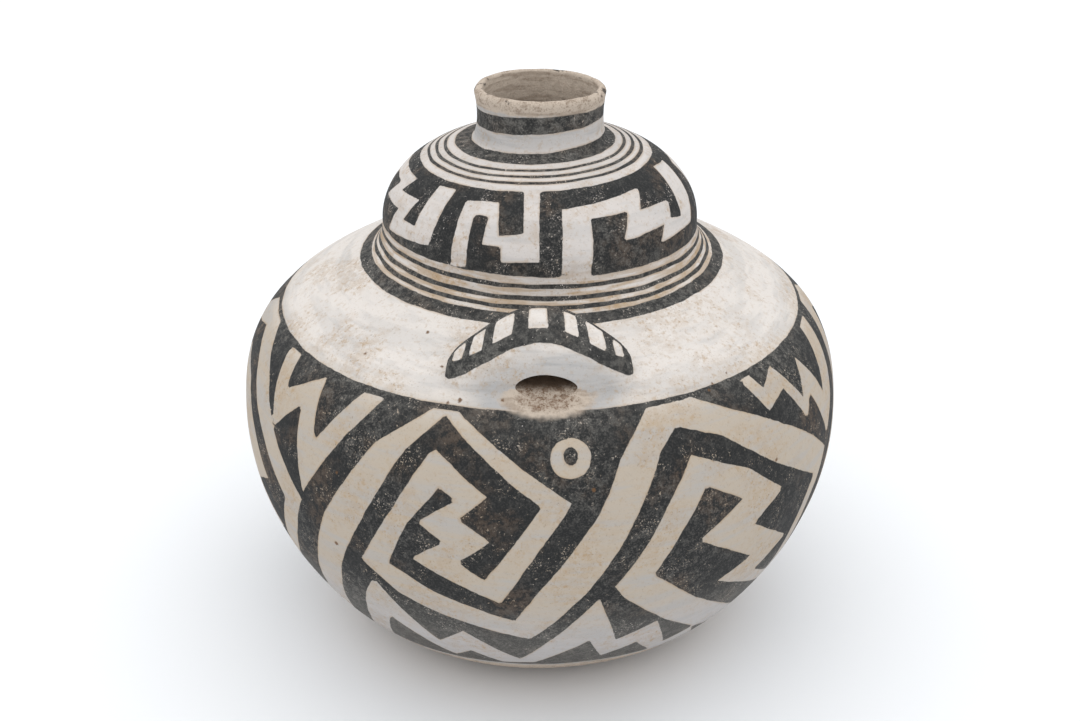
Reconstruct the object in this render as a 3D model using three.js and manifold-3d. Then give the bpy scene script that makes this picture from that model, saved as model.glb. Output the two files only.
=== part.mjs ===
// A wide, round-bellied pottery jar with a raised upper lobe, a short neck and two arched lug handles,
// each with a finger hollow under it. It is one hollow piece of fired clay, open at the mouth.
// Millimetres, +Z up, with the origin at the middle of the underside. The front lug faces -Y.
import * as THREE from 'three';
import { mergeVertices } from 'three/addons/utils/BufferGeometryUtils.js';
import Module from 'manifold-3d';

// Outer profile: radii and heights of its main levels, and how far each curve follows its end tangents
const BASE_RADIUS = 70;
const BASE_PULL = 55.5;
const BELLY_RADIUS = 170;
const BELLY_HEIGHT = 130;
const BELLY_PULL_DOWN = 55.5;
const BELLY_PULL_UP = 54.5;
const WAIST_RADIUS = 97.5;
const WAIST_HEIGHT = 221.8;
const WAIST_SLOPE = 26.1;
const SHOULDER_PULL = 58;
const FILLET_PULL_IN = 5.5;
const FILLET_PULL_UP = 11;
const LOBE_RADIUS = 87;
const LOBE_HEIGHT = 242;
const LOBE_PULL_UP = 19.5;
const NECK_FOOT_RADIUS = 36.8;
const NECK_FOOT_HEIGHT = 286.1;
const NECK_FOOT_SLOPE = 9.1;
const LOBE_PULL_IN = 31.6;
const THROAT_RADIUS = 33.6;
const LIP_RADIUS = 35.4;
const LIP_HEIGHT = 312;
const LIP_CROWN = 2;

// Wall thickness, at the underside and at the rim
const BASE_WALL = 7.5;
const RIM_WALL = 4.8;

// Lug handle: places along the wall are measured as arc length up the outer profile, from the base's edge
const LUG_HALF_TURN = 20.5;
const LUG_TURNS = [0, 180];
const LUG_TILT = 1.3;
const LUG_HEIGHT = 15.5;
const LUG_BACK_RUN = 5;
const LUG_ROOT_DEPTH = 3.5;
const LUG_END_FALL = 0.985;
const LUG_END_SHARE = 0.15;

// Half of each arch that shapes the lug, from its middle to its foot, as turn in degrees and arc length
const LUG_CREST = [[0, 301.5], [10, 301.5], [14.5, 284], [20.5, 276]];
const LUG_BROW = [[0, 280.5], [8, 280.5], [11, 266], [20.5, 262.5]];
const LUG_TOE = [[0, 264], [5, 264], [9, 256], [20.5, 259]];

// Finger hollow under each lug
const HOLLOW_REACH = 268;
const HOLLOW_HALF_WIDTH = 21.5;
const HOLLOW_HALF_LENGTH = 18;
const HOLLOW_TOP = 4;
const HOLLOW_FLOOR = -3.6;

// Facets
const TURN_STEPS = 56;
const CURVE_STEPS = { lower: 11, shoulder: 9, fillet: 4, lobe: 8, neck: 4 };
const INSIDE_STRIDE = 2;
const LIP_STEPS = 5;
const LUG_STEPS = 18;
const LUG_SECTION_STEPS = 16;
const HOLLOW_STEPS = 20;
const MERGE_DISTANCE = 1e-3;

const wasm = await Module();
wasm.setup();

const radians = THREE.MathUtils.degToRad;
const lerp = THREE.MathUtils.lerp;
const point2 = (radius, height) => new THREE.Vector2(radius, height);

// The five curves of the outer profile, from the base's edge to the lip, joined tangent to tangent
function outerCurves() {
  const waistIn = Math.cos(radians(WAIST_SLOPE));
  const waistUp = Math.sin(radians(WAIST_SLOPE));
  const neckIn = Math.cos(radians(NECK_FOOT_SLOPE));
  const neckUp = Math.sin(radians(NECK_FOOT_SLOPE));
  const base = point2(BASE_RADIUS, 0);
  const belly = point2(BELLY_RADIUS, BELLY_HEIGHT);
  const waist = point2(WAIST_RADIUS, WAIST_HEIGHT);
  const lobe = point2(LOBE_RADIUS, LOBE_HEIGHT);
  const neck = point2(NECK_FOOT_RADIUS, NECK_FOOT_HEIGHT);
  const lip = point2(LIP_RADIUS, LIP_HEIGHT);
  return {
    lower: new THREE.CubicBezierCurve(
      base,
      point2(BASE_RADIUS + BASE_PULL, 0),
      point2(BELLY_RADIUS, BELLY_HEIGHT - BELLY_PULL_DOWN),
      belly,
    ),
    shoulder: new THREE.CubicBezierCurve(
      belly,
      point2(BELLY_RADIUS, BELLY_HEIGHT + BELLY_PULL_UP),
      point2(WAIST_RADIUS + SHOULDER_PULL * waistIn, WAIST_HEIGHT - SHOULDER_PULL * waistUp),
      waist,
    ),
    fillet: new THREE.CubicBezierCurve(
      waist,
      point2(WAIST_RADIUS - FILLET_PULL_IN * waistIn, WAIST_HEIGHT + FILLET_PULL_IN * waistUp),
      point2(LOBE_RADIUS, LOBE_HEIGHT - FILLET_PULL_UP),
      lobe,
    ),
    lobe: new THREE.CubicBezierCurve(
      lobe,
      point2(LOBE_RADIUS, LOBE_HEIGHT + LOBE_PULL_UP),
      point2(NECK_FOOT_RADIUS + LOBE_PULL_IN * neckIn, NECK_FOOT_HEIGHT - LOBE_PULL_IN * neckUp),
      neck,
    ),
    neck: new THREE.CubicBezierCurve(
      neck,
      point2(THROAT_RADIUS, lerp(NECK_FOOT_HEIGHT, LIP_HEIGHT, 0.2)),
      point2(THROAT_RADIUS, lerp(NECK_FOOT_HEIGHT, LIP_HEIGHT, 0.65)),
      lip,
    ),
  };
}

const curves = outerCurves();
const outline = new THREE.CurvePath();
Object.values(curves).forEach((curve) => outline.add(curve));
const outlineLength = outline.getLength();

// A point on the profile at an arc length, moved out of the wall by a height, as radius and height above the base
function offOutline(reach, height) {
  const share = reach / outlineLength;
  const point = outline.getPoint(share);
  const along = outline.getTangent(share);
  return point2(point.x + along.y * height, point.y - along.x * height);
}

// The same point carried round the jar's axis, with 0 degrees at the front
function onWall(turn, reach, height) {
  const point = offOutline(reach, height);
  const angle = radians(turn);
  return new THREE.Vector3(point.x * Math.sin(angle), -point.x * Math.cos(angle), point.y);
}

// Arc lengths at which the profile is faceted, closer together where it bends more
function facetReaches() {
  const reaches = [0];
  let start = 0;
  for (const [name, curve] of Object.entries(curves)) {
    const length = curve.getLength();
    for (let step = 1; step <= CURVE_STEPS[name]; step += 1) {
      reaches.push(start + (length * step) / CURVE_STEPS[name]);
    }
    start += length;
  }
  return reaches;
}

// The jar's turned body: up the outside, over the rounded lip and down the inside
function vesselGeometry() {
  const reaches = facetReaches();
  const outside = reaches.map((reach) => offOutline(reach, 0));
  const inside = reaches
    .filter((reach, step) => step % INSIDE_STRIDE === 0)
    .map((reach) => offOutline(reach, -lerp(BASE_WALL, RIM_WALL, reach / outlineLength)));
  const lipOut = outside.at(-1);
  const lipIn = inside.at(-1);
  const lip = new THREE.EllipseCurve(
    (lipOut.x + lipIn.x) / 2,
    (lipOut.y + lipIn.y) / 2,
    (lipOut.x - lipIn.x) / 2,
    LIP_CROWN,
    0,
    Math.PI,
    false,
  );
  const crown = lip.getPoints(LIP_STEPS).slice(1, -1);
  const profile = [point2(0, 0), ...outside, ...crown, ...inside.reverse(), point2(0, BASE_WALL)];
  return new THREE.LatheGeometry(profile, TURN_STEPS).rotateX(Math.PI / 2);
}

// The lug's arches: its crest, the brow below the painted strip, and the toe where its face meets the wall
const arches = [LUG_CREST, LUG_BROW, LUG_TOE].map(
  (places) => new THREE.CubicBezierCurve(...places.map(([turn, reach]) => point2(turn, reach))),
);

// An arched lug: a rounded section that runs along the shoulder, high in the middle and blunt at its feet
function lugGeometry(lugTurn) {
  const lug = new THREE.CylinderGeometry(1, 1, 2, LUG_SECTION_STEPS, LUG_STEPS);
  const places = lug.attributes.position;
  for (let i = 0; i < places.count; i += 1) {
    const along = Math.sin((places.getY(i) * Math.PI) / 2);
    const side = Math.sign(along);
    const share = Math.abs(along);
    const [crest, brow, toe] = arches.map((arch) => arch.getPoint(share));
    const end = Math.max(0, 1 - (1 - share) / LUG_END_SHARE);
    const tuck = ((crest.y - brow.y) / 3) * (1 - Math.sqrt(1 - end * end));
    const across = crest.x / LUG_HALF_TURN;
    const crestHeight = LUG_HEIGHT * (1 - LUG_END_FALL * across * across) ** 0.25;
    const browHeight = crestHeight * lerp(0.94, 0.52, across * across);
    const section = new THREE.CatmullRomCurve3(
      [
        new THREE.Vector3(crest.x, crest.y - tuck + LUG_BACK_RUN, -LUG_ROOT_DEPTH),
        new THREE.Vector3(crest.x, crest.y - tuck, crestHeight),
        new THREE.Vector3(brow.x, brow.y + tuck, browHeight),
        new THREE.Vector3(toe.x, toe.y + tuck, -LUG_ROOT_DEPTH / 3),
        new THREE.Vector3(toe.x, toe.y + tuck, -LUG_ROOT_DEPTH),
      ],
      true,
      'centripetal',
    );
    const around = Math.atan2(places.getX(i), places.getZ(i)) / (2 * Math.PI);
    const rim = section.getPoint((around + 1) % 1);
    const heart = new THREE.Vector3(brow.x, (crest.y + toe.y) / 2, 0);
    const spot = Math.hypot(places.getX(i), places.getZ(i)) > 0.5 ? rim : heart;
    const reach = spot.y + (LUG_TILT * side * spot.x) / LUG_HALF_TURN;
    const place = onWall(lugTurn + side * spot.x, reach, Math.max(spot.z, -LUG_ROOT_DEPTH));
    places.setXYZ(i, place.x, place.y, place.z);
  }
  return lug;
}

// The hollow that fingertips go into: a flattened round pocket that follows the wall
function hollowGeometry(lugTurn) {
  const hollow = new THREE.SphereGeometry(1, HOLLOW_STEPS, HOLLOW_STEPS / 2);
  const places = hollow.attributes.position;
  const middle = (HOLLOW_TOP + HOLLOW_FLOOR) / 2;
  const halfHeight = (HOLLOW_TOP - HOLLOW_FLOOR) / 2;
  const girth = offOutline(HOLLOW_REACH, 0).x;
  const halfTurn = THREE.MathUtils.radToDeg(HOLLOW_HALF_WIDTH / girth);
  for (let i = 0; i < places.count; i += 1) {
    const turn = lugTurn + places.getX(i) * halfTurn;
    const reach = HOLLOW_REACH + places.getZ(i) * HOLLOW_HALF_LENGTH;
    const place = onWall(turn, reach, middle + places.getY(i) * halfHeight);
    places.setXYZ(i, place.x, place.y, place.z);
  }
  return hollow;
}

// A closed geometry as a solid that can be joined and cut, turned right side out if it was inside out
function solidOf(geometry) {
  geometry.deleteAttribute('normal');
  geometry.deleteAttribute('uv');
  const merged = mergeVertices(geometry, MERGE_DISTANCE);
  const corners = merged.index.array;
  const triVerts = [];
  for (let i = 0; i < corners.length; i += 3) {
    const [a, b, c] = [corners[i], corners[i + 1], corners[i + 2]];
    if (a !== b && b !== c && c !== a) {
      triVerts.push(a, b, c);
    }
  }
  const vertProperties = new Float32Array(merged.attributes.position.array);
  const solid = (order) => new wasm.Manifold(new wasm.Mesh({ numProp: 3, vertProperties, triVerts: order }));
  const straight = solid(new Uint32Array(triVerts));
  return straight.volume() > 0 ? straight : solid(new Uint32Array(triVerts.reverse()));
}

// The finished solid back as a geometry with flat facets
function geometryOf(solid) {
  const mesh = solid.getMesh();
  const geometry = new THREE.BufferGeometry();
  geometry.setAttribute('position', new THREE.BufferAttribute(new Float32Array(mesh.vertProperties), 3));
  geometry.setIndex(new THREE.BufferAttribute(new Uint32Array(mesh.triVerts), 1));
  geometry.computeVertexNormals();
  return geometry;
}

let clay = solidOf(vesselGeometry());
for (const turn of LUG_TURNS) {
  clay = clay.add(solidOf(lugGeometry(turn)));
  clay = clay.subtract(solidOf(hollowGeometry(turn)));
}

const slippedClay = new THREE.MeshStandardMaterial({ color: 0xcfc5b8, roughness: 0.85, metalness: 0 });
const jar = new THREE.Mesh(geometryOf(clay), slippedClay);
jar.name = 'jar';

const model = new THREE.Group();
model.add(jar);

export default model;
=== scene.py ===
# %% [markdown]
# # A black-on-white pottery jar
# The real jar was coiled from clay, scraped thin, covered with a white slip and painted with a
# black mineral paint before it was fired. This lesson builds it the same way round: first the
# wall, then the raised lug handles and the hollows under them, then the paint and the wear.
# The imported CAD model gives the size. The Blender jar takes its place.

# %% Load the frame
import math

import bpy
import numpy as np
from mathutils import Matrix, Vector, noise


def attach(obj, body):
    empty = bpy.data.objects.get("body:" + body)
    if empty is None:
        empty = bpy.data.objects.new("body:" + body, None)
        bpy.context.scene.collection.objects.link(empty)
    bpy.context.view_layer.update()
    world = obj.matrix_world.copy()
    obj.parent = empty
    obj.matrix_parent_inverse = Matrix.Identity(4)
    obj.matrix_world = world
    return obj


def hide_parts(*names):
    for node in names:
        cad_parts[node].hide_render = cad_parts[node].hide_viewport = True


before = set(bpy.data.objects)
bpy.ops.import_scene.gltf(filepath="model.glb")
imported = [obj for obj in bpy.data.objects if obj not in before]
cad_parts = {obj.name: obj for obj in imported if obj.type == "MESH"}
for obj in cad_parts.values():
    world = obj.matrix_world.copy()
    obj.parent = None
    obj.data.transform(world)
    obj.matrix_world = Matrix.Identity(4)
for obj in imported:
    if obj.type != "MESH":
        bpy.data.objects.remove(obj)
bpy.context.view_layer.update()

# %% [markdown]
# ## The outline
# A jar made by hand still has one outline that runs all the way round. Five Bézier curves follow
# it in millimetres: the lower belly, the shoulder, the small waist, the upper lobe and the neck.
# Two numbers then name any place on the wall: the turn round the jar in degrees, with 0 facing
# the camera, and the reach, which is the distance up the wall from the edge of the base. The
# painter's pattern follows the wall too, so both the lugs and the paint use these numbers later.

# %% The outline in five curves
MM = 0.001
CURVE_POINTS = 160
OUTLINE_CURVES = [
    [(70, 0), (125.5, 0), (170, 74.5), (170, 130)],
    [(170, 130), (170, 184.5), (149.6, 196.3), (97.5, 221.8)],
    [(97.5, 221.8), (92.6, 224.2), (87, 231), (87, 242)],
    [(87, 242), (87, 261.5), (68, 281.1), (36.8, 286.1)],
    [(36.8, 286.1), (33.6, 291.3), (33.6, 302.9), (35.4, 312)],
]


def along(curve, count):
    """Points along one Bézier curve, both ends included."""
    a, b, c, d = (np.array(p, float) for p in curve)
    t = np.linspace(0, 1, count)[:, None]
    return (1 - t) ** 3 * a + 3 * (1 - t) ** 2 * t * b + 3 * (1 - t) * t**2 * c + t**3 * d


outline = np.vstack([along(OUTLINE_CURVES[0], 1)] + [along(c, CURVE_POINTS)[1:] for c in OUTLINE_CURVES])
outline_reach = np.concatenate([[0], np.cumsum(np.hypot(*np.diff(outline, axis=0).T))])
outline_run = np.gradient(outline, outline_reach, axis=0)
outline_run /= np.hypot(*outline_run.T)[:, None]
outline_out = np.stack([outline_run[:, 1], -outline_run[:, 0]], axis=1)
LIP_REACH = outline_reach[-1]


def on_outline(table, reach):
    """One of the outline's tables, read at these reaches."""
    return np.stack([np.interp(reach, outline_reach, table[:, i]) for i in (0, 1)], axis=-1)


print("the outline is", round(LIP_REACH, 1), "mm long and", outline[:, 0].max(), "mm at its widest")

# %% [markdown]
# ## Turning the wall
# A potter's wall has an outside, a rounded lip and an inside. One vertex is extruded along all
# three, from the middle of the underside to the middle of the floor inside, as a chain of edges.
# Then the chain is spun round the axis. The front gets the smallest steps, because the lug and the
# finest painting are there. Doubles are merged where the spin closes, and normals point outwards.

# %% Draw the section and spin it
WALL_AT_BASE = 7.5
WALL_AT_LIP = 4.8
LIP_CROWN = 2.0
LUG_SECTOR = 50
SPINS = [(LUG_SECTOR, 90), (180 - LUG_SECTOR, 130), (LUG_SECTOR, 54), (180 - LUG_SECTOR, 130)]

# Rows of vertices up the wall: few on the plain foot, most where the lug is
foot_rows = np.linspace(0, 60, 7)[:-1]
belly_rows = np.linspace(60, 249, 78)[:-1]
lug_rows = np.linspace(249, 309, 57)[:-1]
lobe_rows = np.linspace(309, LIP_REACH, 50)
levels = np.concatenate([foot_rows, belly_rows, lug_rows, lobe_rows])
inside_levels = np.concatenate([np.linspace(LIP_REACH, 298, 16), np.linspace(280, 6, 9)])
wall = WALL_AT_BASE + (WALL_AT_LIP - WALL_AT_BASE) * inside_levels / LIP_REACH
outside_line = on_outline(outline, levels)
inside_line = on_outline(outline, inside_levels) - on_outline(outline_out, inside_levels) * wall[:, None]
lip_middle = (outside_line[-1] + inside_line[0]) / 2
lip_half = (outside_line[-1] - inside_line[0]) / 2
lip_turns = np.linspace(0, math.pi, 7)[1:-1]
lip_line = lip_middle + np.cos(lip_turns)[:, None] * lip_half
lip_line[:, 1] += np.sin(lip_turns) * LIP_CROWN
section = np.vstack(
    [[(0, 0), (36, 0), (60, 0)], outside_line, lip_line, inside_line, [(40, WALL_AT_BASE), (0, WALL_AT_BASE)]]
)

bpy.ops.object.select_all(action="DESELECT")
bpy.ops.mesh.primitive_plane_add(size=0.01)
jar = bpy.context.object
jar.name = "painted_jar"
jar.data.name = "painted_jar"
bpy.ops.object.mode_set(mode="EDIT")
bpy.ops.mesh.select_all(action="SELECT")
bpy.ops.mesh.merge(type="CENTER")
start_turn = math.radians(-LUG_SECTOR / 2)
for r_step, z_step in np.diff(section, axis=0) * MM:
    step = (r_step * math.sin(start_turn), -r_step * math.cos(start_turn), z_step)
    bpy.ops.mesh.extrude_region_move(TRANSFORM_OT_translate={"value": step})
bpy.ops.mesh.select_all(action="SELECT")
for sector, steps in SPINS:
    bpy.ops.mesh.spin(steps=steps, angle=math.radians(sector), center=(0, 0, 0), axis=(0, 0, -1))
bpy.ops.mesh.select_all(action="SELECT")
bpy.ops.mesh.remove_doubles(threshold=0.00001)
bpy.ops.mesh.normals_make_consistent(inside=False)
bpy.ops.object.mode_set(mode="OBJECT")
print("turned wall:", len(jar.data.vertices), "vertices from a section of", len(section), "points")

# %% [markdown]
# ## Raising the lugs
# A lug was a roll of clay pressed on to the shoulder and smoothed into an arch, thick above and
# thin at its feet. Here it is pulled out of the wall as a sculpt brush would do it, because then
# the lug and the wall stay one skin and the paint runs over both. Three arches shape it: the crest
# at the top, the brow below the painted strip, and the toe where its front face meets the wall. The
# height is averaged over a few millimetres, which rounds the edges as a wet thumb does. Below the toe
# the wall gets a soft dent, where fingers pressed in.

# %% Read places on the wall and raise both lugs
LUG_HALF_TURN = 20.5
LUG_TURNS = (0, 180)
LUG_TILT = 1.3
LUG_HEIGHT = 16.5
LUG_BACK_RUN = 5.0
LUG_END_TURN = 3.2
HOLLOW_TURN = 1.4
DENT_REACH = 259
DENT_DEPTH = 2.6
DENT_HALF = (15, 7)
GIRTH_AT_DENT = 137
BROW_SHARE = 0.94
BROW_FALL = 0.42
STRIP_BULGE = 0.3
ARCH_POINTS = 40
SMOOTHING = [(-2.2, 0.1), (-1.1, 0.24), (0, 0.32), (1.1, 0.24), (2.2, 0.1)]
CREST_ARCH = along([(0, 302), (10, 302), (14.5, 284), (20.5, 276)], ARCH_POINTS)
BROW_ARCH = along([(0, 280.5), (8, 280.5), (11, 266), (20.5, 262.5)], ARCH_POINTS)
TOE_ARCH = along([(0, 264), (5, 264), (9, 256), (20.5, 259)], ARCH_POINTS)


def coordinates():
    """The jar's vertices as rows of x, y and z in millimetres."""
    flat = np.empty(len(jar.data.vertices) * 3)
    jar.data.vertices.foreach_get("co", flat)
    return flat.reshape(-1, 3) / MM


def move_to(places):
    """Puts the jar's vertices at these places."""
    jar.data.vertices.foreach_set("co", (places * MM).ravel())
    jar.data.update()


def locate(places):
    """Each vertex's turn in degrees, its reach, and how far it stands off the outline, in mm."""
    turn = np.degrees(np.arctan2(places[:, 0], -places[:, 1]))
    flat = np.stack([np.hypot(places[:, 0], places[:, 1]), places[:, 2]], axis=1)
    near = []
    for part in np.array_split(flat, 60):
        near.extend(((part[:, None] - outline[None]) ** 2).sum(axis=2).argmin(axis=1))
    off = flat - outline[near]
    reach = outline_reach[near] + (off * outline_run[near]).sum(axis=1)
    return turn, reach, (off * outline_out[near]).sum(axis=1)


def turn_from(turn, middle):
    """Degrees from a middle turn, between -180 and 180."""
    return (turn - middle + 180) % 360 - 180


def lug_levels(turn):
    """Reaches of a lug's toe, brow and crest at these turns from its middle."""
    tilt = LUG_TILT * turn / LUG_HALF_TURN
    toe, brow, crest = (np.interp(np.abs(turn), *arch.T) + tilt for arch in (TOE_ARCH, BROW_ARCH, CREST_ARCH))
    end = np.clip(1 - (LUG_HALF_TURN - np.abs(turn)) / LUG_END_TURN, 0, 1)
    tuck = (crest - brow) / 2 * (1 - np.sqrt(1 - end**2))
    return toe + tuck, brow + tuck, crest - tuck


def lug_rise(turn, reach):
    """How far a lug stands off the wall, with its edges rounded."""
    toe, brow, crest = lug_levels(turn)
    across = np.clip(turn / LUG_HALF_TURN, -1, 1) ** 2
    at_crest = LUG_HEIGHT * (1 - across) ** 0.25
    at_brow = at_crest * (BROW_SHARE - BROW_FALL * across)
    total = np.zeros_like(reach)
    for shift, share in SMOOTHING:
        at = reach + shift
        face = np.clip((at - toe) / (brow - toe), 0, 1) * at_brow
        strip = np.clip((at - brow) / (crest - brow), 0, 1)
        top = strip * (at_crest - at_brow) + STRIP_BULGE * at_crest * strip * (1 - strip)
        behind = np.clip((crest + LUG_BACK_RUN - at) / LUG_BACK_RUN, 0, 1)
        total += share * (face + top) * behind
    return total


def skin_rise(turn, reach):
    """How far the outside stands off the outline: the lug less the dent below it."""
    beside = np.radians(turn - HOLLOW_TURN) * GIRTH_AT_DENT / DENT_HALF[0]
    above = (reach - DENT_REACH) / DENT_HALF[1]
    return lug_rise(turn, reach) - DENT_DEPTH * np.exp(-(beside**2) - above**2)


places = coordinates()
turn, reach, rise = locate(places)
on_outside = (np.abs(rise) < 0.2) & (reach > 200)
pull = sum(skin_rise(turn_from(turn, middle), reach) for middle in LUG_TURNS) * on_outside
out = on_outline(outline_out, reach)
angle = np.radians(turn)
places += pull[:, None] * np.stack([out[:, 0] * np.sin(angle), -out[:, 0] * np.cos(angle), out[:, 1]], axis=1)
move_to(places)
print("lugs raise", int((pull > 0.05).sum()), "vertices, by up to", round(pull.max(), 1), "mm")

# %% [markdown]
# ## Scooping the finger hollows
# Under each lug the potter scooped a pocket for the fingertips. A squashed sphere, tilted to the
# slope of the shoulder, is cut out with a Boolean. It leaves a hood with a crisp lip, which a push
# along the surface couldn't give.

# %% Cut the hollows
HOLLOW_REACH = 270
HOLLOW_RISE = -0.3
HOLLOW_HALF = (17, 15, 4.1)

hollow_out = on_outline(outline_out, HOLLOW_REACH)
hollow_spot = (on_outline(outline, HOLLOW_REACH) + hollow_out * HOLLOW_RISE) * MM
for middle in LUG_TURNS:
    way = math.radians(middle + HOLLOW_TURN)
    bpy.ops.object.select_all(action="DESELECT")
    bpy.ops.mesh.primitive_ico_sphere_add(
        subdivisions=5,
        radius=1,
        location=(hollow_spot[0] * math.sin(way), -hollow_spot[0] * math.cos(way), hollow_spot[1]),
        rotation=(math.atan2(hollow_out[0], hollow_out[1]), 0, way),
        scale=[half * MM for half in HOLLOW_HALF],
    )
    scoop = bpy.context.object
    bpy.context.view_layer.objects.active = jar
    bpy.ops.object.modifier_add(type="BOOLEAN")
    cut = jar.modifiers[-1]
    cut.operation = "DIFFERENCE"
    cut.solver = "EXACT"
    cut.object = scoop
    bpy.ops.object.modifier_apply(modifier=cut.name)
    bpy.data.objects.remove(scoop)
jar.select_set(True)
triangles = sum(len(face.vertices) - 2 for face in jar.data.polygons)
print("with the hollows:", len(jar.data.vertices), "vertices and", triangles, "triangles")

# %% [markdown]
# ## The painted pattern
# The painter covered the belly with black and left white lines: tall hooked frames that lean over
# one another, each with a lightning stroke inside, and small zigzags in the gaps. The upper lobe has
# a fret of hooked bars. Every white shape is a list of corners, read as turn and reach. Shapes that
# the camera can't see repeat the ones it can, so the back carries the same pattern in a plainer way.

# %% Corners of the white shapes
LEFT_FRAME = [
    (-124, 98), (-118, 129), (-113.6, 154), (-103.6, 199), (-98, 225), (-88, 248), (-75, 248), (-63, 225),
    (-46.8, 176), (-51, 150), (-55, 130), (-62, 105), (-66, 94), (-79, 131), (-72.5, 139), (-83, 160),
    (-76, 177), (-82, 197), (-86, 180), (-91, 157), (-83.6, 129.6), (-66.5, 92), (-60, 80), (-69, 75),
    (-78, 89.6), (-90, 119), (-98, 143), (-100.7, 153), (-95.4, 177), (-91.5, 199), (-84, 221), (-73.6, 213),
    (-59.6, 170), (-68.6, 157), (-60.5, 136), (-66.5, 122), (-67, 104), (-60, 130), (-56, 150), (-52.7, 169),
    (-61, 195), (-72, 225), (-80, 238), (-93, 225), (-96.5, 200), (-100, 179), (-106, 150), (-113.6, 118),
    (-122, 80),
]
MIDDLE_FRAME = [
    (-65, 83), (-51, 105), (-48.2, 126.5), (-40, 178.8), (-30, 225), (-20.5, 248), (-15.5, 248), (5.4, 204.7),
    (0, 180.4), (-6.9, 143.2), (-22.5, 166.2), (-16.3, 179.3), (-20.9, 188.7), (-14.1, 203.5), (-17.1, 209.2),
    (-22.9, 186.5), (-27.1, 158.5), (-18.6, 145), (-4.6, 129.3), (-2, 111.5), (-19.6, 128.8), (-26.4, 137.3),
    (-33.1, 155), (-27.1, 185), (-19.6, 225), (-18.4, 228), (-8.8, 207), (-13.7, 193.9), (-8.1, 183.2),
    (-13.9, 169.2), (-9.5, 158.8), (0.2, 203), (-18, 245), (-23.9, 225), (-30.7, 188), (-38.9, 143.5),
    (-43.6, 109.6), (-46, 90), (-53, 70), (-62, 73),
]
RIGHT_FRAME = [
    (-4.6, 129.3), (0, 154), (10, 199), (13.9, 225), (20.5, 248), (30.2, 248), (44.6, 225), (55.7, 205),
    (66.8, 180), (62, 156), (60.5, 137), (60, 112), (57, 98), (34.6, 136.5), (42.1, 145), (28.2, 171.9),
    (37.4, 188), (29.3, 202.2), (24.5, 180), (20, 157.3), (30, 129.6), (47.1, 92), (54, 82), (46, 74),
    (35.7, 89.6), (23.6, 118.8), (15.4, 142.7), (12.9, 153.2), (18.2, 177.3), (22.1, 198.8), (26.8, 220.4),
    (38.6, 203.5), (47.9, 181.5), (40.5, 168.8), (53.6, 142), (45.7, 128), (55.4, 109.6), (56.1, 141.2),
    (57.9, 157.3), (60.4, 172), (45.7, 199), (33.9, 225), (25.3, 236), (21.3, 225), (17.1, 200.4),
    (13.6, 178.8), (7.7, 149.6), (0, 118), (-2, 111.5),
]
JOIN_TO_MIDDLE = [(-6.5, 117.5), (-8, 131)]
JOIN_TO_LAST = [(-4, 92), (-9, 76), (-22, 70), (-17, 84), (-12, 92), (-7.5, 104)]
LEFT_TEETH = [
    (-63, 247), (-58, 247), (-55.6, 229), (-46.5, 246), (-43.6, 213), (-36, 247), (-31, 247), (-46.2, 181),
    (-49.3, 227), (-56.4, 207), (-59, 222),
]
RIGHT_TEETH = [
    (43, 247), (46, 247), (48, 238), (53, 246), (58, 221), (62, 241), (67, 213), (73, 247), (79, 247),
    (72, 205), (67.5, 186.5), (60.7, 220), (57.5, 209), (53, 232), (46.7, 226),
]
LOW_ZIGZAG = [
    (-44.5, 70), (-40, 91), (-35, 126.5), (-31.4, 142.7), (-21.4, 95.3), (-15, 113.9), (-4.4, 82.7), (0, 101),
    (10.4, 145.8), (15.4, 103.5), (23.2, 115.8), (28.9, 81.2), (35, 89.6), (40, 68.8), (32, 66), (26.8, 71.2),
    (20.6, 94.2), (13.6, 81.2), (9.8, 106.8), (0, 79.6), (-1.2, 75.6), (-8.7, 74), (-14.9, 88.8),
    (-19.6, 75.8), (-31.3, 109.6), (-38.6, 66.5),
]
SHORT_ZIGZAG = LOW_ZIGZAG[7:19] + [(2, 84)]
LOBE_HOOK = [
    (-31.3, 330), (-31.6, 364.4), (-16.9, 366), (-14.7, 347.8), (-5.6, 349.6), (-7.1, 372.7), (0, 373.3),
    (-0.4, 335.6), (-13.3, 334.4), (-13.3, 342.7), (-20.3, 342.7), (-19.6, 357.3), (-25.6, 357.3),
    (-25.6, 330),
]
LOBE_BAR = [
    (7.1, 328.4), (8.7, 362.7), (47.6, 367.1), (42, 355.1), (58.9, 354.4), (55.3, 344.9), (62.4, 342.7),
    (69.3, 372.7), (83.3, 370), (76.7, 348.9), (69.3, 336.2), (46.7, 335.1), (50.3, 343.3), (30.4, 341.8),
    (35.7, 356.4), (19.7, 355.6), (17.3, 328),
]
LEFT_LOBE_BAR = [
    (-106, 328.4), (-104.5, 362.7), (-65.3, 364.9), (-70.3, 354.4), (-54.3, 356), (-58.7, 342.2),
    (-50.4, 342.7), (-49.3, 367.8), (-39.3, 368.9), (-41.2, 335.6), (-68.9, 331.8), (-64.3, 346.2),
    (-83.3, 344.9), (-76, 357), (-93.5, 355.6), (-95.7, 328),
]


def shifted(corners, by, stretch=1):
    """The same shape somewhere else round the jar."""
    return [(by + turn * stretch, reach) for turn, reach in corners]


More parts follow.
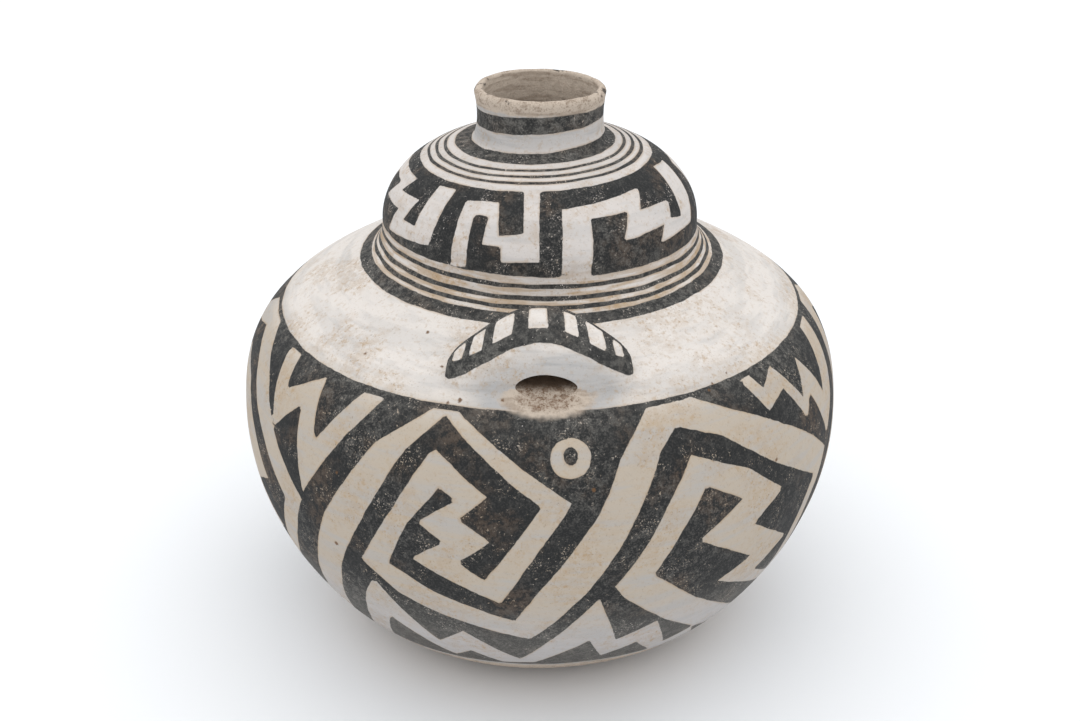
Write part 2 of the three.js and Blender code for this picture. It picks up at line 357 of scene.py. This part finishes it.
BACK_STARTS = (67.4, 127.7, 188)
BACK_STRETCH = 0.9
white_shapes = [LEFT_FRAME, MIDDLE_FRAME, RIGHT_FRAME + JOIN_TO_MIDDLE, LEFT_TEETH, RIGHT_TEETH, LOW_ZIGZAG]
white_shapes += [shifted(RIGHT_FRAME + JOIN_TO_LAST, start, BACK_STRETCH) for start in BACK_STARTS]
white_shapes += [shifted(SHORT_ZIGZAG, start, BACK_STRETCH) for start in BACK_STARTS]
white_shapes += [shifted(RIGHT_TEETH, start, BACK_STRETCH) for start in (BACK_STARTS[0], BACK_STARTS[2])]
white_shapes += [LOBE_HOOK, LEFT_LOBE_BAR, LOBE_BAR, shifted(LOBE_BAR, 82), shifted(LOBE_BAR, 164)]
print(len(white_shapes), "white shapes with", sum(len(shape) for shape in white_shapes), "corners")

# %% [markdown]
# ## Measuring the black
# A material can't read lists of corners, so each vertex keeps how far it lies inside the black, in
# millimetres: above 0 is black and below 0 is white. The edge then falls between vertices, so it
# stays sharp at any size. The rings, the bands and the blocks on the lugs are measured as well.

# %% Distances into the black
FAR = 9.0
BELLY_BLACK = (71, 250.6)
LOBE_BLACK = (327.5, 374)
BANDS = [(301, 308.3), (395, 404), (413.8, 423)]
RINGS = [(5.3, 227), (182, 227)]
RING_OUTSIDE = 9.9
RING_HOLE = 3.7
RING_HOLE_SQUASH = 0.78
BLOCK_TURNS = [(-18.7, -16.4), (-15, -12.5), (-10.5, -6.3), (-2.7, 1.9), (5.7, 8.7), (10.9, 14.3)]
BLOCK_TURNS += [(16.2, 18.2)]
LUG_PAINT_BESIDE = 0.4
LUG_PAINT_BELOW = 1
LUG_PAINT_ABOVE = 2.2
BLOCK_OVER_BROW = 6.4
BLOCK_UNDER_CREST = 3.2
# The painter's level lines run a little askew: how far they drift at these reaches
DRIFT_REACHES = [290, 300, 325, 374, 390, 422, 427]
DRIFTS = [0, -1, -2, 2.6, 2.8, 2, 0]


def between(value, low, high):
    """Distance inside a range, below 0 outside it."""
    return np.minimum(value - low, high - value)


def into_shape(corners, turn, reach, girth):
    """Distance into a closed shape in mm, below 0 outside it."""
    corners = np.array(corners)
    middle = (corners[:, 0].min() + corners[:, 0].max()) / 2
    turn = turn_from(turn, middle)
    corners[:, 0] -= middle
    low, high = corners.min(axis=0), corners.max(axis=0)
    margin = np.degrees(FAR / girth)
    near = between(turn, low[0] - margin, high[0] + margin) > 0
    near &= between(reach, low[1] - FAR, high[1] + FAR) > 0
    t, s, k = turn[near], reach[near], np.radians(girth[near])
    best = np.full(len(t), FAR**2)
    odd = np.zeros(len(t), bool)
    for (t1, s1), (t2, s2) in zip(corners, np.roll(corners, -1, axis=0)):
        px, py, ex, ey = (t - t1) * k, s - s1, (t2 - t1) * k, s2 - s1
        share = np.clip((px * ex + py * ey) / (ex**2 + ey**2), 0, 1)
        best = np.minimum(best, (px - share * ex) ** 2 + (py - share * ey) ** 2)
        if s1 != s2:
            odd ^= ((s1 > s) != (s2 > s)) & (t < t1 + (s - s1) * (t2 - t1) / (s2 - s1))
    depth = np.full(len(turn), -FAR)
    depth[near] = np.sqrt(best) * np.where(odd, 1, -1)
    return depth


places = coordinates()
turn, reach, rise = locate(places)
girth = np.maximum(np.hypot(places[:, 0], places[:, 1]), 20)
drift = np.interp(reach, DRIFT_REACHES, DRIFTS)
level = reach - drift * np.sin(np.radians(turn))

white = np.max([into_shape(shape, turn, reach, girth) for shape in white_shapes], axis=0)
for ring_turn, ring_reach in RINGS:
    beside = np.radians(turn_from(turn, ring_turn)) * girth
    above = reach - ring_reach
    hole = np.hypot(beside, (above - 1) * RING_HOLE_SQUASH) - RING_HOLE
    white = np.maximum(white, np.minimum(RING_OUTSIDE - np.hypot(beside, above), hole))
black = np.minimum(np.maximum(between(reach, *BELLY_BLACK), between(level, *LOBE_BLACK)), -white)

lug_black = np.full(len(turn), -FAR)
off_lug = np.full(len(turn), FAR)
for middle in LUG_TURNS:
    from_middle = turn_from(turn, middle)
    toe, brow, crest = lug_levels(from_middle)
    side = np.radians(LUG_HALF_TURN + LUG_PAINT_BESIDE - np.abs(from_middle)) * girth
    off_lug = np.minimum(off_lug, -np.minimum(side, between(reach, toe, crest + LUG_BACK_RUN)))
    ground = np.minimum(side, between(reach, brow - LUG_PAINT_BELOW, crest + LUG_PAINT_ABOVE))
    blocks = np.max([between(from_middle, *ends) for ends in BLOCK_TURNS], axis=0) * np.radians(1) * girth
    blocks = np.minimum(blocks, between(reach, brow + BLOCK_OVER_BROW, crest - BLOCK_UNDER_CREST))
    lug_black = np.maximum(lug_black, np.minimum(ground, -blocks))
bands = np.max([between(level, *band) for band in BANDS], axis=0)
black = np.max([black, np.minimum(bands, off_lug), lug_black], axis=0)
black = np.where((rise < -1) | (reach < 0), -FAR, black)
print("black covers", round(100 * float((black > 0).mean())), "percent of the vertices")

# %% [markdown]
# ## Finding the bare clay
# The slip never reached the inside and the foot, and hands wore it off the lip and round the hollows.
# A second number tells how far a vertex lies inside such a place, and its size tells which place it
# is. Deep under each hood it keeps rising, and there the material darkens the clay as dirt and painted
# shade. Round each hollow it dips a little below 0, which greys the slip on the hood as painted shade
# under the lug. The reach is kept too, for the thin lines.

# %% Bare clay, and all three numbers on the vertices
BARE = 3.0
BARE_INSIDE = 2.2
BARE_HOLLOW = 5.6
FOOT_REACH = 68
LIP_BARE_REACH = 423.2
LIP_EDGE = 4
INSIDE_RISE = -4.6
SCOOP_DEPTH = 0.15
HOOD_RISE = 0.6
HOLLOW_SIDE_TURN = 24
HOLLOW_REACHES = (240, 290)
DEEP_FROM = 262
DEEP_STEP = 0.45
DEEP_MOST = 3.4
SMEAR_AND_SHADE_REACH = 257
SMEAR_AND_SHADE_HALF = (23, 10)

bare = np.minimum(np.maximum(FOOT_REACH - reach, (reach - LIP_BARE_REACH) * LIP_EDGE), BARE)
lumpy = np.zeros(len(turn), bool)
for middle in LUG_TURNS:
    from_middle = turn_from(turn, middle)
    scooped = skin_rise(from_middle, reach) - rise > SCOOP_DEPTH
    scooped &= np.abs(from_middle) < HOLLOW_SIDE_TURN
    scooped &= between(reach, *HOLLOW_REACHES) > 0
    # Deeper under the hood the number rises, and the material turns that into dirt and painted shade
    deep = np.clip((reach - DEEP_FROM) * DEEP_STEP, 0, DEEP_MOST)
    bare = np.where(scooped, BARE_HOLLOW + deep, bare)
    lumpy |= scooped & (rise > INSIDE_RISE)
    # Round each hollow: worn tan clay off the hood, and on the hood a value below 0 that greys the slip as
    # painted shade under the lug
    beside = np.radians(from_middle - HOLLOW_TURN) * girth
    smear_and_hood_shade = (1 - np.hypot(beside / SMEAR_AND_SHADE_HALF[0], (reach - SMEAR_AND_SHADE_REACH) / SMEAR_AND_SHADE_HALF[1])) * FAR
    bare = np.maximum(bare, np.minimum(smear_and_hood_shade, np.where(rise < HOOD_RISE, BARE_HOLLOW, -BARE)))
bare = np.where((rise < INSIDE_RISE) | (reach < 0), BARE_INSIDE, bare)

black = np.clip(black, -FAR, FAR)
bare = np.clip(bare, -FAR, FAR)
for name, values in (("paint", black), ("bare", bare), ("reach", level)):
    layer = jar.data.attributes.new(name, "FLOAT", "POINT")
    layer.data.foreach_set("value", values)
print("bare clay on", round(100 * float((bare > 0).mean())), "percent of the vertices")

# %% [markdown]
# ## The hand in the wall
# Nothing made on a potter's mat is quite round. A soft noise moves the wall in and out by less than
# a millimetre, and the lip, worn by use, goes up and down a little more. Fingers left the hollows
# lumpy. The underside stays flat.

# %% Make the wall uneven
WALL_WAVE = 0.7
WALL_WAVE_SIZES = (70, 24)
LIP_WAVE = 0.7
LIP_WAVE_SIZES = (26, 8)
LIP_FROM = 408
LIP_RUN = 18
LUMP_SIZES = (4.5, 2)
STILL_BELOW = 30
SMOOTH_ANGLE = 48


def waves(points, size):
    """Smooth noise between about -1 and 1, with waves of this size in mm."""
    return np.array([noise.noise(Vector(p)) for p in points / size])


sway = waves(places, WALL_WAVE_SIZES[0]) * WALL_WAVE
sway += waves(places + 500, WALL_WAVE_SIZES[1]) * WALL_WAVE * 0.35
sway *= np.clip(places[:, 2] / STILL_BELOW, 0, 1)
lip_share = np.clip((reach - LIP_FROM) / LIP_RUN, 0, 1)
from_above = np.stack([places[:, 0], places[:, 1], 0 * reach], axis=1)
dip = waves(from_above + 90, LIP_WAVE_SIZES[0]) * LIP_WAVE * lip_share
dip += waves(places + 40, LIP_WAVE_SIZES[1]) * LIP_WAVE * 0.5 * lip_share
lumps = waves(places, LUMP_SIZES[0]) * 0.5 + waves(places + 200, LUMP_SIZES[1]) * 0.25
moved = places.copy()
moved[:, :2] *= (1 + sway / girth)[:, None]
moved[:, 2] += dip + lumpy * lumps
move_to(moved)
bpy.ops.object.shade_smooth_by_angle(angle=math.radians(SMOOTH_ANGLE))
print("wall moved by up to", round(np.abs(sway).max(), 2), "mm and lip by", round(np.abs(dip).max(), 2), "mm")

# %% [markdown]
# ## Arithmetic for the shader
# Clay, slip and paint will need many small sums, and a node for each is slow to wire by hand. A small
# class lets node sockets be added and compared like numbers, so that the shader reads like
# arithmetic. Any other node comes from one method, which takes its settings first and then its inputs.

# %% Arithmetic with sockets
class Wire:
    """A node's output that works like a number."""

    tree = None

    def __init__(self, socket):
        self.socket = socket

    @classmethod
    def node(cls, kind, settings, inputs, output=0):
        """One new node: settings first, then numbers or wires into its inputs."""
        node = cls.tree.nodes.new(kind)
        for name, value in settings.items():
            setattr(node, name, value)
        for key, value in inputs.items():
            if isinstance(value, Wire):
                cls.tree.links.new(value.socket, node.inputs[key])
            else:
                node.inputs[key].default_value = value
        return cls(node.outputs[output])

    @classmethod
    def maths(cls, operation, *values):
        return cls.node("ShaderNodeMath", {"operation": operation}, dict(enumerate(values)))

    def __add__(self, other):
        return Wire.maths("ADD", self, other)

    def __sub__(self, other):
        return Wire.maths("SUBTRACT", self, other)

    def __rsub__(self, other):
        return Wire.maths("SUBTRACT", other, self)

    def __mul__(self, other):
        return Wire.maths("MULTIPLY", self, other)

    def __truediv__(self, other):
        return Wire.maths("DIVIDE", self, other)

    def __abs__(self):
        return Wire.maths("ABSOLUTE", self)

    __radd__ = __add__
    __rmul__ = __mul__

    def top(self, other):
        """The larger of two."""
        return Wire.maths("MAXIMUM", self, other)

    def fade(self, low, high):
        """0 at low, 1 at high and a smooth step between."""
        settings = {"interpolation_type": "SMOOTHSTEP"}
        return Wire.node("ShaderNodeMapRange", settings, {"Value": self, "From Min": low, "From Max": high})


def mix(share, first, second):
    """One colour going over into another."""
    settings = {"data_type": "RGBA", "clamp_factor": True}
    return Wire.node("ShaderNodeMix", settings, {0: share, 6: first, 7: second}, 2)


print("sums with sockets are ready")

# %% [markdown]
# ## Edges and noise
# A yucca brush leaves edges that wander, so noise shakes every painted edge by about half a
# millimetre. The thin lines come straight from the reach, which keeps them crisp. The other masks tell
# the belly from the shoulder and the neck, and noise of several sizes is made here once for all layers.

# %% Start the material with its masks
UPPER_LINES = (389.5, 384.5, 379.7)
LOWER_LINES = (322.5, 316.5, 311.8)
UPPER_HALF = 0.95
LOWER_HALF = 1.15

clay = bpy.data.materials.new("slipped_painted_clay")
clay.use_nodes = True
Wire.tree = clay.node_tree
where = Wire.node("ShaderNodeTexCoord", {}, {}, 3)
flattened = Wire.node("ShaderNodeVectorMath", {"operation": "MULTIPLY"}, {0: where, 1: (0.12, 0.12, 1)})


def grain(size, detail=2.0, roughness=0.5, vector=where):
    """Noise from 0 to 1 with lumps of about this size in mm."""
    inputs = {"Vector": vector, "Scale": 1 / (size * MM), "Detail": detail, "Roughness": roughness}
    return Wire.node("ShaderNodeTexNoise", {}, inputs)


def stored(name):
    """One of the numbers kept on the vertices."""
    return Wire.node("ShaderNodeAttribute", {"attribute_name": name}, {}, 2)


on_wall = stored("reach")
into_bare_and_shade = stored("bare")
wander = on_wall + (grain(30) - 0.5) * 2.4
ink = stored("paint") + (grain(11) - 0.5) * 1.5 + (grain(2.0) - 0.5) * 0.6
for lines, half in ((UPPER_LINES, UPPER_HALF), (LOWER_LINES, LOWER_HALF)):
    line_half = half + (grain(12) - 0.5) * 0.8
    for line in lines:
        ink = ink.top(line_half - abs(wander - line))

belly = on_wall.fade(262, 236)
# Lower belly: a greyer slip there, and its black greyed as painted sheen
low = on_wall.fade(150, 100)
neck = on_wall.fade(402, 410)
# Shoulder with its lugs, and the top of the lobe: their black is greyed as dust and painted sheen
dust_and_sheen_on_top = on_wall.fade(228, 256) * on_wall.fade(340, 315) + on_wall.fade(368, 390)
under_lobe = on_wall.fade(300, 312) * on_wall.fade(334, 322)

patches = grain(34, 4, 0.6)
mottle = grain(4, 5, 0.7)
fine = grain(1.0, 4, 0.65)
streaks = grain(2.4, 2, 0.6, flattened)
brush = grain(7, 3, 0.6, flattened)
stains = patches.fade(0.44, 0.62)
print("masks and noise:", len(clay.node_tree.nodes), "nodes")

# %% [markdown]
# ## The white slip
# Slip is thin white clay, wiped on in strokes. It is whitest on the shoulder and warm on the belly.
# On the upper lobe a darker copy of the slip is painted shade, for a wall that faces sideways. The slip
# is grey where the strokes are thin and on the neck. It is also grey on the hood round each hollow,
# where the grey is painted shade under the lug along with some smudging. It is stained ochre in patches
# and along the paint. Each of these is one colour mixed over the last, with a mask that says how much.

# %% Mix the slip
SLIP = (0.705, 0.656, 0.615, 1)
SLIP_LOBE_SHADED = (0.635, 0.59, 0.56, 1)
SLIP_BELLY = (0.49, 0.42, 0.343, 1)
SLIP_LOW = (0.50, 0.475, 0.465, 1)
GREY_STROKES_AND_SHADE = (0.43, 0.42, 0.415, 1)
OCHRE = (0.42, 0.285, 0.16, 1)
FRECKLE = (0.13, 0.09, 0.06, 1)

# The upper lobe gets a darker copy of the slip: painted shade for its sideways-facing wall
slip_colour = mix(on_wall.fade(312, 330), SLIP, SLIP_LOBE_SHADED)
slip_colour = mix(low, mix(belly, slip_colour, SLIP_BELLY), SLIP_LOW)
# Painted shade with some smudging: the slip greys in a halo round each hollow, on the hood under the lug
hood_shade_and_smudge = into_bare_and_shade.fade(-9, -2)
strokes_and_painted_shade = brush.fade(0.46, 0.62) * (0.28 + belly * 0.2) + streaks.fade(0.5, 0.7) * 0.25
strokes_and_painted_shade = strokes_and_painted_shade + neck * 0.5 + hood_shade_and_smudge * 0.8
slip_colour = mix(strokes_and_painted_shade, slip_colour, GREY_STROKES_AND_SHADE)
stained = stains * mottle.fade(0.36, 0.6) * 0.34 + under_lobe * streaks.fade(0.36, 0.6) * 0.6
slip_colour = mix(stained, slip_colour, OCHRE)
spotted = grain(2.8, 4, 0.65).fade(0.54, 0.66) * (0.26 + stains * 0.34)
slip_colour = mix(spotted, slip_colour, OCHRE)
freckled = fine.fade(0.59, 0.70) * (0.26 + stains * 0.34)
slip_colour = mix(freckled, slip_colour, FRECKLE)
along_paint = ink.fade(-1.4, -0.1) * patches.fade(0.56, 0.4) * 0.45
slip_colour = mix(along_paint, slip_colour, OCHRE)
print("with the slip:", len(clay.node_tree.nodes), "nodes")

# %% [markdown]
# ## The black paint
# Mineral paint fires black. It goes grey where it wears thin, and brown where the fire reached it. On
# the lower belly, the shoulder and the top of the lobe it is greyed more, as painted sheen along with
# dust. It also flakes, so tiny white specks show the slip below it. The specks take paint away instead
# of adding white, which keeps them the colour of the slip.

# %% Mix the paint
PAINT = (0.018, 0.0185, 0.019, 1)
PAINT_WORN_AND_SHEEN = (0.14, 0.133, 0.122, 1)
PAINT_BROWN = (0.085, 0.055, 0.036, 1)

# Black greyed by dust patches, and on the lower belly by painted sheen
dust_and_low_sheen = grain(60, 3).fade(0.42, 0.6) * 0.8 + low
thin_and_sheen = (mottle.fade(0.44, 0.66) * 0.3 + fine.fade(0.46, 0.68) * 0.3) * (0.5 + dust_and_low_sheen)
# More grey on the lower belly and on the upward-facing tops: painted sheen with dust
thin_and_sheen = thin_and_sheen + low * 0.5 + dust_and_sheen_on_top * (mottle.fade(0.36, 0.62) * 0.34 + 0.06)
rusty = patches.fade(0.52, 0.36) * mottle.fade(0.40, 0.56) * 0.7
paint_colour = mix(thin_and_sheen, mix(rusty, PAINT, PAINT_BROWN), PAINT_WORN_AND_SHEEN)
specks = grain(0.9, 2, 0.6).fade(0.60, 0.66) * grain(16, 4, 0.65).fade(0.50, 0.62)
flakes = grain(2.4, 4, 0.75).fade(0.64, 0.68) * grain(26, 2).fade(0.46, 0.58)
ink_share = ink.fade(-0.22, 0.22) * (1 - specks.top(flakes) * 0.85)
print("with the paint:", len(clay.node_tree.nodes), "nodes")

# %% [markdown]
# ## Bare clay and chips
# The clay itself is tan and gritty. Inside the neck it shows the strokes of scraping, and in the
# hollows it is brown with old dirt. Deep under each hood it goes nearly black, which is painted shade
# as well as dirt. A few larger chips are placed one by one, each as a soft spot round a point on the
# wall, and the lip has dark spots.

# %% Mix the clay and lay the layers over each other
CLAY = (0.54, 0.455, 0.375, 1)
CLAY_DARK = (0.20, 0.14, 0.10, 1)
HOLLOW_BROWN = (0.17, 0.10, 0.058, 1)
DEEP_DIRT_AND_SHADE = (0.085, 0.055, 0.036, 1)
CHIP_BROWN = (0.15, 0.078, 0.036, 1)
# Each chip's turn, reach and size
CHIPS = [(-38.8, 158.2, 2.3), (-15.9, 253.8, 2.0), (-18.2, 251.5, 1.5), (-7.5, 256, 1.8), (-37.2, 202.5, 1.7)]
CHIPS += [(36.5, 251, 1.5), (35, 248.5, 1.5), (41.2, 253.5, 1.4), (-30.3, 288.5, 1.4), (-41.8, 265.5, 1.3)]
CHIPS += [(-22.2, 270.5, 1.3), (46, 200, 1.7), (9, 211, 1.8)]

bare_share = (into_bare_and_shade + (grain(5, 4) - 0.5) * 6).fade(-2.0, 1.6)
inside = into_bare_and_shade.fade(2.8, 2.3)
hollow = into_bare_and_shade.fade(2.3, 5.0)
gritty = (mottle.fade(0.46, 0.66) * 0.45 + fine.fade(0.50, 0.66) * 0.4) * (1 - inside * 0.6)
scraped = streaks.fade(0.46, 0.64) * inside * 0.4
clay_colour = mix(gritty + scraped, CLAY, CLAY_DARK)
browned = hollow * (mottle.fade(0.40, 0.62) * 0.45 + fine.fade(0.46, 0.64) * 0.35 + 0.16)
clay_colour = mix(browned, clay_colour, HOLLOW_BROWN)
# Deep under the hood the clay goes nearly black: dirt and painted shade
clay_colour = mix(into_bare_and_shade.fade(5.4, 8.8), clay_colour, DEEP_DIRT_AND_SHADE)

colour = mix(bare_share, mix(ink_share, slip_colour, paint_colour), clay_colour)
for chip_turn, chip_reach, size in CHIPS:
    out, up = on_outline(outline, chip_reach) * MM
    way = math.radians(chip_turn)
    spot = (out * math.sin(way), -out * math.cos(way), up)
    away = Wire.node("ShaderNodeVectorMath", {"operation": "DISTANCE"}, {0: where, 1: spot}, 1) / MM
    chipped = (size * 0.6 - away + (mottle - 0.5) * 3).fade(-0.4, 0.6) * 0.94
    colour = mix(chipped, colour, CHIP_BROWN)
lip_spots = on_wall.fade(427.2, 428.2) * grain(8, 3).fade(0.58, 0.64)
colour = mix(lip_spots * 0.8, colour, PAINT)
print("with the clay and", len(CHIPS), "chips:", len(clay.node_tree.nodes), "nodes")

# %% [markdown]
# ## Relief and shine
# Slip that was rubbed with a stone has a faint sheen, and bare clay has none. Small dents, strokes and
# pits are too fine for the mesh, so they go into a bump, deepest where the clay is bare.

# %% Finish the shader
pits = grain(1.5, 3, 0.55).fade(0.58, 0.74)
relief = grain(14, 3) * 0.5 + grain(2.2, 4) * 0.2 + streaks * 0.12 - pits * 0.14
relief = relief + bare_share * (mottle + grain(2.6, 2) * hollow - 0.5)
bump = Wire.node("ShaderNodeBump", {}, {"Strength": 0.8, "Distance": MM, "Height": relief})
rough = 0.66 + ink_share * 0.04 + bare_share * 0.2 + mottle * 0.1
shader = clay.node_tree.nodes["Principled BSDF"]
for name, wire in (("Base Color", colour), ("Roughness", rough), ("Normal", bump)):
    clay.node_tree.links.new(wire.socket, shader.inputs[name])
shader.inputs["Specular IOR Level"].default_value = 0.25
jar.data.materials.clear()
jar.data.materials.append(clay)
print("the whole material:", len(clay.node_tree.nodes), "nodes")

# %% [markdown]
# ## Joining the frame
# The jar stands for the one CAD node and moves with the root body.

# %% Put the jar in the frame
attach(jar, "root")
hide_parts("jar")
print("the jar rides on root and replaces the CAD node")

# %% [markdown]
# ## The studio
# The photograph was taken from a little above on a white sweep, under light from all round. A white
# world gives that light, one large lamp like a lit ceiling makes the top a little brighter, and the
# white floor sends light back up under the belly.

# %% Floor, light and camera
bpy.ops.object.select_all(action="DESELECT")
bpy.ops.mesh.primitive_plane_add(size=12)
floor = bpy.context.object
floor.name = "floor"
white_floor = bpy.data.materials.new("white_floor")
white_floor.use_nodes = True
floor_shader = white_floor.node_tree.nodes["Principled BSDF"]
floor_shader.inputs["Base Color"].default_value = (0.88, 0.89, 0.91, 1)
floor_shader.inputs["Roughness"].default_value = 0.9
floor_shader.inputs["Specular IOR Level"].default_value = 0.0
floor.data.materials.append(white_floor)

world = bpy.data.worlds.new("studio")
bpy.context.scene.world = world
world.use_nodes = True
world.node_tree.nodes["Background"].inputs["Color"].default_value = (0.96, 0.985, 1, 1)
world.node_tree.nodes["Background"].inputs["Strength"].default_value = 0.7

bpy.ops.object.light_add(type="AREA", location=(0, 0, 3))
lamp = bpy.context.object
lamp.name = "overhead_lamp"
lamp.data.size = 8
lamp.data.energy = 170

bpy.ops.object.camera_add(location=(0, -0.7834, 0.5393), rotation=(math.radians(63.57), 0, 0))
camera = bpy.context.object
camera.name = "photo_camera"
camera.data.lens = 50
camera.data.sensor_width = 36
bpy.context.scene.camera = camera
bpy.context.scene.view_settings.view_transform = "Standard"
print("camera at", [round(c, 3) for c in camera.location])
